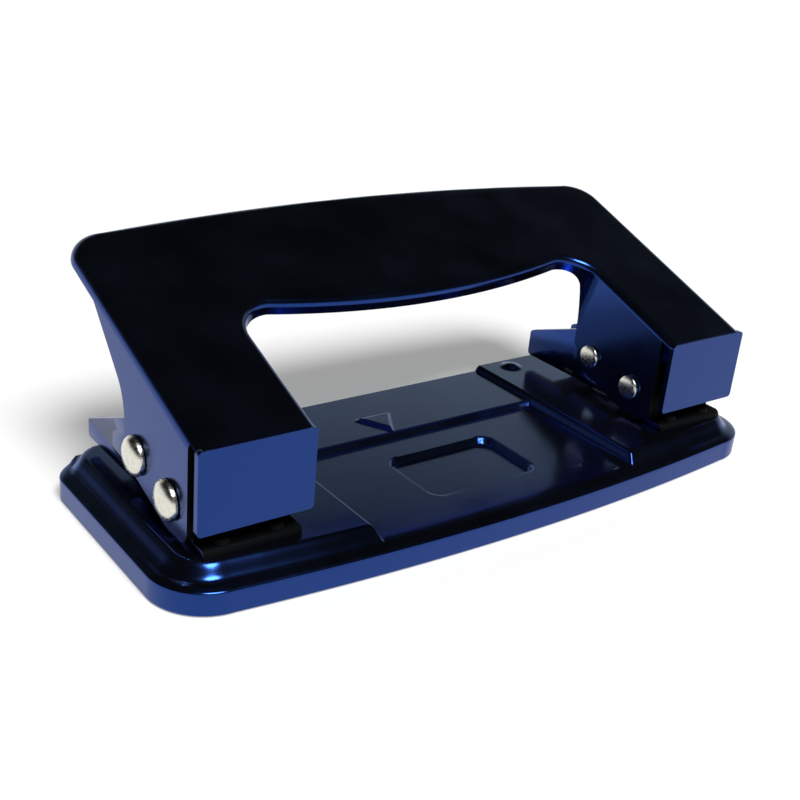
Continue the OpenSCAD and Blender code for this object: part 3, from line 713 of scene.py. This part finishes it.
def flap(side):
    """The flap that closes a leg's front, with round corners."""
    x0, x1 = side * HOLE_X - LEG_HALF, side * HOLE_X + LEG_HALF
    r, low, top = FLAP_CORNER, FLAP_LOW + FLAP_CORNER, FLAP_TOP - FLAP_CORNER
    points = (arc((x0 + r, low), r, 180, 270) + arc((x1 - r, low), r, 270, 360)
              + arc((x1 - r, top), r, 0, 90) + arc((x0 + r, top), r, 90, 180))
    return push_out(outline_face("flap", [(x, FLAP_Y, z) for x, z in points]), (0, SHEET, 0))


# %% Bend and cut the handle
PIN_RADIUS = 1.6
PIN_PLAY = 0.1
DRIVE_PLAY = 0.25
CUT_WELD = 0.004
FLAT_ANGLE = math.radians(0.5)
SHARP = 40
HANDLE_ROUND = 0.22
FLANGE_SLACK = 0.1
FLANGE_FRONT_END = -10


def make_handle():
    handle = bend_sheet()
    past = HANDLE_HALF + 10
    outer, inner, lip = waste(outer_edge()), waste(inner_edge()), waste(lip_end(), LIP_DEPTH)
    cut_away(handle, side_bar("cutter", outer, HOLE_X, past))
    cut_away(handle, side_bar("cutter", outer, -past, -HOLE_X))
    cut_away(handle, side_bar("cutter", inner, LIP_HALF, HOLE_X))
    cut_away(handle, side_bar("cutter", inner, -HOLE_X, -LIP_HALF))
    cut_away(handle, side_bar("cutter", lip, -LIP_HALF, LIP_HALF))
    for side in (-1, 1):
        weld_on(handle, flap(side))
    cut_away(handle, add_rod(-past, past, *PIVOT, PIN_RADIUS + PIN_PLAY))
    slot = (arc((DRIVE[0] + DRIVE_PLAY, DRIVE[1]), PIN_RADIUS + PIN_PLAY, -90, 90, 20)
            + arc((DRIVE[0] - DRIVE_PLAY, DRIVE[1]), PIN_RADIUS + PIN_PLAY, 90, 270, 20))
    cut_away(handle, side_bar("cutter", slot, -past, past))
    open_mesh(handle)
    bpy.ops.mesh.remove_doubles(threshold=CUT_WELD * MM)
    bpy.ops.mesh.dissolve_limited(angle_limit=FLAT_ANGLE)
    close_mesh()
    return handle


def flange_front(face):
    """Whether a face is the cut front edge of a flange, close behind its flap."""
    return face.normal.y < -0.5 and FLANGE_Y - FLANGE_SLACK < face.center.y / MM < FLANGE_FRONT_END


handle = make_handle()
apply_modifier(handle, "BEVEL", width=HANDLE_ROUND * MM, segments=3, limit_method="ANGLE",
               angle_limit=math.radians(SHARP))
smooth(handle, SHARP)
apply_modifier(handle, "WEIGHTED_NORMAL", keep_sharp=True)
finish_piece(handle, ENAMEL, "handle", "black_paint", "handle")
# Painted shade: the cut front edges of the flanges, in the dark gap behind the flaps, get the dull paint.
shade_dull_faces(handle, flange_front)

# %% [markdown]
# ## Brackets and small parts
# The brackets and the other small pieces already have their true shape in the imported model, with knife-sharp
# edges. Real edges are rounded by the press and by the paint, and that is what catches the light. A copy of
# the node is merged and cleaned, and a narrow bevel rounds its edges. The foot in front of a bracket's stop
# wall, and its rivets, lie in shade under the flap and get the dull paint, as painted shade.

# %% Rounded copies
COPY_WELD = 0.001
BRACKET_ROUND = 0.18
RIVET_ROUND = 0.12
STRIPPER_ROUND = 0.1
TRAY_ROUND = 0.25
STOP_WALL_Y = -11.6


def rounded_copy(node, width):
    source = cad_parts[node]
    piece = bpy.data.objects.new("rounded_" + node, source.data.copy())
    scene.collection.objects.link(piece)
    open_mesh(piece)
    bpy.ops.mesh.remove_doubles(threshold=COPY_WELD * MM)
    bpy.ops.mesh.dissolve_limited(angle_limit=FLAT_ANGLE)
    close_mesh()
    apply_modifier(piece, "BEVEL", width=width * MM, segments=2, limit_method="ANGLE",
                   angle_limit=math.radians(SHARP))
    return smooth(piece, SHARP)


for side in ("left", "right"):
    bracket = rounded_copy(side + "_bracket", BRACKET_ROUND)
    finish_piece(bracket, ENAMEL, "frame", "black_paint", side + "_bracket")
    # Painted shade: the foot in front of the stop wall, under the flap, gets the dull paint.
    shade_dull_faces(bracket, lambda face: face.center.y / MM < STOP_WALL_Y)
    rivets = rounded_copy(side + "_bracket_rivets", RIVET_ROUND)
    # Painted shade: the rivets on the foot get the dull paint all over.
    finish_piece(rivets, SHADE_DULLED_ENAMEL, "frame", "black_paint", side + "_bracket_rivets")
    stripper = rounded_copy(side + "_stripper", STRIPPER_ROUND)
    finish_piece(stripper, BLACKENED_STEEL, "frame", "tool_steel", side + "_stripper")
finish_piece(rounded_copy("chip_tray", TRAY_ROUND), PLASTIC, "tray", "tray_plastic", "chip_tray")

# %% [markdown]
# ## Pins
# Each leg has two pins through it. Outside, the pin has a domed head; inside, its end is upset into a smaller
# and lower dome. A pin starts as a short cylinder, and its two end faces are widened, then inset and moved,
# ring by ring, into the domes.

# %% Pins
HEAD_RADIUS = 2.7
HEAD_HEIGHT = 1.5
HEAD_RIM = 0.25
HEAD_GAP = 0.15
END_RADIUS = 1.9
END_HEIGHT = 0.8
END_RIM = 0.3
PIN_SIDES = 56
DOME_TO = 82
DOME_RINGS = 8


def select_end(pin, x):
    """Picks the flat end face of a pin at one x."""
    open_mesh(pin)
    bpy.ops.mesh.select_all(action="DESELECT")
    close_mesh()
    for face in pin.data.polygons:
        face.select = abs(face.center.x - x) < 1e-6 and abs(face.normal.x) > 0.9
    bpy.context.tool_settings.mesh_select_mode = (False, False, True)
    bpy.ops.object.mode_set(mode="EDIT")


def ring(step_in, step_out):
    """Insets the picked end face and moves it along X, in millimetres."""
    bpy.ops.mesh.inset(thickness=step_in * MM, depth=0)
    bpy.ops.transform.translate(value=(step_out * MM, 0, 0))


def dome_over(radius, rise):
    """Raises the picked end face into a dome, ring by ring."""
    angles = np.radians(np.linspace(0, DOME_TO, DOME_RINGS + 1))
    for a, b in zip(angles[:-1], angles[1:]):
        ring(radius * (math.cos(a) - math.cos(b)), rise * (math.sin(b) - math.sin(a)))


def upset(pin, end, y, z, radius, rim, height):
    """Spreads the end of a pin at one x into a disc with a dome; rim and height run along X."""
    select_end(pin, end * MM)
    bpy.ops.mesh.extrude_region_move()
    bpy.ops.transform.resize(value=(1, radius / PIN_RADIUS, radius / PIN_RADIUS),
                             center_override=(end * MM, y * MM, z * MM))
    bpy.ops.mesh.extrude_region_move(TRANSFORM_OT_translate={"value": (rim * MM, 0, 0)})
    dome_over(radius, height - rim)
    close_mesh()


def make_pin(name, side, y, z):
    grip = LEG_HALF + HEAD_GAP
    pin = add_rod(-grip, grip, y, z, PIN_RADIUS, PIN_SIDES)
    pin.name = name
    upset(pin, grip, y, z, HEAD_RADIUS, HEAD_RIM, HEAD_HEIGHT)
    upset(pin, -grip, y, z, END_RADIUS, -END_RIM, -END_HEIGHT)
    if side < 0:
        pin.data.transform(Matrix.Scale(-1, 4, (1, 0, 0)))
    pin.data.transform(Matrix.Translation((side * HOLE_X * MM, 0, 0)))
    fix_normals(pin)
    return smooth(pin, 50)


for side, word in ((-1, "left"), (1, "right")):
    pivot_pin = make_pin(word + "_domed_pivot_pin", side, *PIVOT)
    finish_piece(pivot_pin, NICKEL, "frame", "nickel_pins", word + "_pivot_pin")
    drive_pin = make_pin(word + "_domed_drive_pin", side, *DRIVE)
    finish_piece(drive_pin, NICKEL, word + "_punch_set", "nickel_pins", word + "_drive_pin")

# %% [markdown]
# ## Springs
# A coil spring round each punch lifts the handle again. A screw modifier sweeps a small circle, the section
# of the wire, up and round the punch. The spring can't follow the punch as a whole, so it stays with the
# frame.

# %% Springs
SPRING_RADIUS = 3.75
SPRING_TURNS = 3.5
WIRE = 0.7
SPRING_STEPS = 126
WIRE_STEP = 30


def make_spring(word, side):
    low, high = box_mm(word + "_spring")
    rise = high.z - low.z - WIRE
    section = [(SPRING_RADIUS + WIRE / 2 * math.cos(a), 0, low.z + WIRE / 2 + WIRE / 2 * math.sin(a))
               for a in np.radians(np.arange(0, 360, WIRE_STEP))]
    spring = outline_face(word + "_coil_spring", section)
    open_mesh(spring)
    bpy.ops.mesh.delete(type="ONLY_FACE")
    close_mesh()
    apply_modifier(spring, "SCREW", axis="Z", angle=2 * math.pi * SPRING_TURNS, screw_offset=rise * MM,
                   steps=SPRING_STEPS, render_steps=SPRING_STEPS, use_merge_vertices=False)
    open_mesh(spring)
    bpy.ops.mesh.select_all(action="DESELECT")
    bpy.ops.mesh.select_mode(type="EDGE")
    bpy.ops.mesh.select_non_manifold()
    bpy.ops.mesh.edge_face_add()
    close_mesh()
    if side < 0:
        spring.data.transform(Matrix.Scale(-1, 4, (1, 0, 0)))
    spring.data.transform(Matrix.Translation(Vector((side * HOLE_X, HOLE_Y, 0)) * MM))
    fix_normals(spring)
    return smooth(spring, 60), low.z, high.z


for side, word in ((-1, "left"), (1, "right")):
    spring, foot, top = make_spring(word, side)
    finish_piece(spring, SPRING_STEEL, "frame", "spring_wire", word + "_spring")
    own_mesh(spring)

# %% [markdown]
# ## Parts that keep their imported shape
# The punches, their clips and the dies are plain turned and ground parts, already right. They only need
# steel.

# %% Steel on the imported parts
for word in ("left", "right"):
    for node, material in (("punch", PUNCH_STEEL), ("spring_clip", PLATE_STEEL), ("die", PLATE_STEEL)):
        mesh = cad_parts[word + "_" + node].data
        mesh.materials.clear()
        mesh.materials.append(material)

# %% [markdown]
# ## The studio
# Black gloss shows hardly any colour of its own: what is seen is the room. The upright walls mirror the white
# floor in front and come out blue, the decks mirror a pale glow low on the right, and the sloping plate
# mirrors a dark ceiling and stays black. So the floor is one plain pale colour, lit by a soft sun from the
# front, and the world is bright at the horizon and dark overhead. Mirrors show the floor as the camera does.

# %% Floor, world and lamps
ROOM_TINT = (1, 1, 1.03)
ROOM_LEVELS = ((0, 1), (0.08, 0.75), (0.16, 0.3), (0.24, 0.1), (0.34, 0.03), (0.5, 0.006), (1, 0.004))
GLOW_TINT = (0.93, 1, 0.7)
GLOW_TOWARDS = (0.6, 0.8, 0)
GLOW_SPREAD = (0.3, 0.75)
GLOW_LEVELS = ((0, 0), (0.1, 0.2), (0.2, 0.55), (0.38, 0.64), (0.43, 0.46), (0.48, 0.2), (0.56, 0.03),
               (0.65, 0))
FLOOR_COLOUR = (0.8, 0.8, 0.8)
FLOOR_WHITE = 0.3
FLOOR_SIZE = 8
FLOOR_DROP = 0.02
SUN_TOWARDS = (-0.055, -0.527, 0.848)
SUN_STRENGTH = 3.08
SUN_SOFTNESS = 24


def pale_floor():
    bpy.ops.object.select_all(action="DESELECT")
    bpy.ops.mesh.primitive_plane_add(size=FLOOR_SIZE, location=(0, 0, -FLOOR_DROP * MM))
    floor = bpy.context.object
    floor.name = "studio_floor"
    material = bpy.data.materials.new("pale_floor")
    material.use_nodes = True
    nodes, links = material.node_tree.nodes, material.node_tree.links
    nodes.remove(nodes["Principled BSDF"])
    matt = nodes.new("ShaderNodeBsdfDiffuse")
    matt.inputs["Color"].default_value = (*FLOOR_COLOUR, 1)
    glow = nodes.new("ShaderNodeEmission")
    glow.inputs["Color"].default_value = (1, 1, 1, 1)
    links.new(seen_rays(nodes, links, FLOOR_WHITE), glow.inputs["Strength"])
    both = nodes.new("ShaderNodeAddShader")
    links.new(matt.outputs[0], both.inputs[0])
    links.new(glow.outputs[0], both.inputs[1])
    links.new(both.outputs[0], nodes["Material Output"].inputs["Surface"])
    floor.data.materials.append(material)
    return floor


def soft_fall(nodes, links, value, start, end):
    """A soft rise from 0 to 1 over a span of values."""
    fall = nodes.new("ShaderNodeMapRange")
    fall.interpolation_type = "SMOOTHSTEP"
    fall.inputs["From Min"].default_value = start
    fall.inputs["From Max"].default_value = end
    links.new(value, fall.inputs["Value"])
    return fall.outputs["Result"]


def seen_rays(nodes, links, strength):
    """One strength for the rays that show the floor: straight, in a mirror and through glass."""
    path = nodes.new("ShaderNodeLightPath")
    total = None
    for name in ("Is Camera Ray", "Is Glossy Ray", "Is Transmission Ray"):
        part = nodes.new("ShaderNodeMath")
        part.operation = "MULTIPLY_ADD"
        part.inputs[1].default_value = strength
        part.inputs[2].default_value = 0
        links.new(path.outputs[name], part.inputs[0])
        if total is not None:
            links.new(total, part.inputs[2])
        total = part.outputs[0]
    return total


def add_ramp(nodes, links, value, colours):
    """A ramp through colours at places between 0 and 1."""
    ramp = nodes.new("ShaderNodeValToRGB")
    stops = ramp.color_ramp.elements
    stops.remove(stops[1])
    for number, (position, colour) in enumerate(colours):
        stop = stops[0] if number == 0 else stops.new(position)
        stop.position = position
        stop.color = (*colour, 1)
    links.new(value, ramp.inputs["Fac"])
    return ramp.outputs["Color"]


def shades(colour, levels):
    """One colour at several levels, for a ramp over the sky's height."""
    return [(height, [level * part for part in colour]) for height, level in levels]


def studio_world():
    """A room that is white low down and dark overhead, with a pale glow, the same for every ray."""
    world = bpy.data.worlds.new("studio")
    scene.world = world
    world.use_nodes = True
    nodes, links = world.node_tree.nodes, world.node_tree.links
    place = nodes.new("ShaderNodeTexCoord").outputs["Generated"]
    split = nodes.new("ShaderNodeSeparateXYZ")
    links.new(place, split.inputs[0])
    room = add_ramp(nodes, links, split.outputs["Z"], shades(ROOM_TINT, ROOM_LEVELS))
    glow = add_ramp(nodes, links, split.outputs["Z"], shades(GLOW_TINT, GLOW_LEVELS))
    towards = nodes.new("ShaderNodeVectorMath")
    towards.operation = "DOT_PRODUCT"
    towards.inputs[1].default_value = GLOW_TOWARDS
    links.new(place, towards.inputs[0])
    share = soft_fall(nodes, links, towards.outputs["Value"], *GLOW_SPREAD)
    add = nodes.new("ShaderNodeMix")
    add.data_type = "RGBA"
    add.blend_type = "ADD"
    links.new(share, add.inputs["Factor"])
    links.new(room, add.inputs["A"])
    links.new(glow, add.inputs["B"])
    links.new(add.outputs["Result"], nodes["Background"].inputs["Color"])
    nodes["Background"].inputs["Strength"].default_value = 1.0


def add_sun(name, towards, strength, softness):
    """A sun that shines from a direction, with a disc of softness degrees."""
    bpy.ops.object.light_add(type="SUN", location=towards)
    sun = bpy.context.object
    sun.name = name
    sun.data.energy = strength
    sun.data.angle = math.radians(softness)
    sun.rotation_euler = Vector(towards).to_track_quat("Z", "Y").to_euler()
    return sun


pale_floor()
studio_world()
add_sun("key_sun", SUN_TOWARDS, SUN_STRENGTH, SUN_SOFTNESS)
print("stage set")
